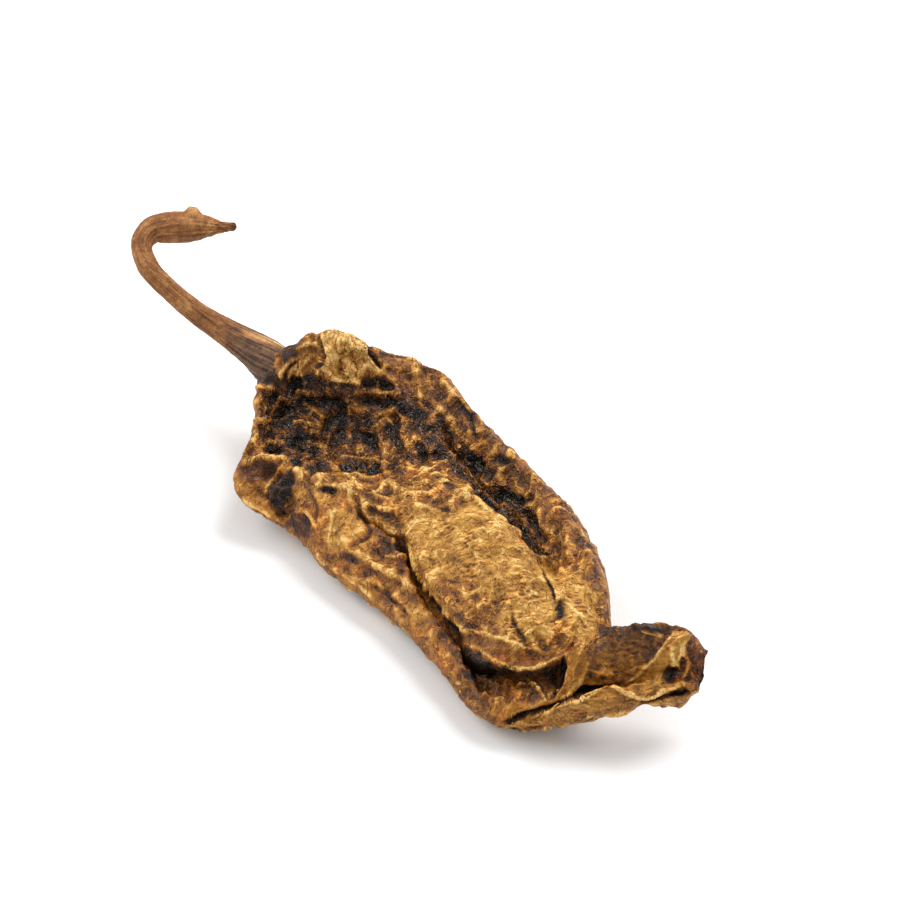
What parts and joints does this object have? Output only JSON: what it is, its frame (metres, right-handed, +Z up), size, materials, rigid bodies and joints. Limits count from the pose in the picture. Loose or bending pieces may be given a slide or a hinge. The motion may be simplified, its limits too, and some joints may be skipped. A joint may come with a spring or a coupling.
{
  "type": "dried chipotle pepper",
  "caption": "Dried, smoked chilli pod with a collapsed, wrinkled skin, a folded blossom end and a hooked woody stem, lying on its side.",
  "frame": {"origin": "a point near the middle of the small flat spot under the pod's belly that the pepper rests on", "axes": "+X along the pod from the stem to the folded blossom end, +Y to the side that the end is folded towards, +Z up"},
  "size_m": [0.0852, 0.0264, 0.0192],
  "materials": {
    "pod_skin": "dry, wrinkled, with glossy dark patches",
    "stem_wood": "dry, fibrous, matt"
  },
  "bodies": {
    "root": {"pod": "pod_skin", "stem": "stem_wood"}
  },
  "joints": []
}
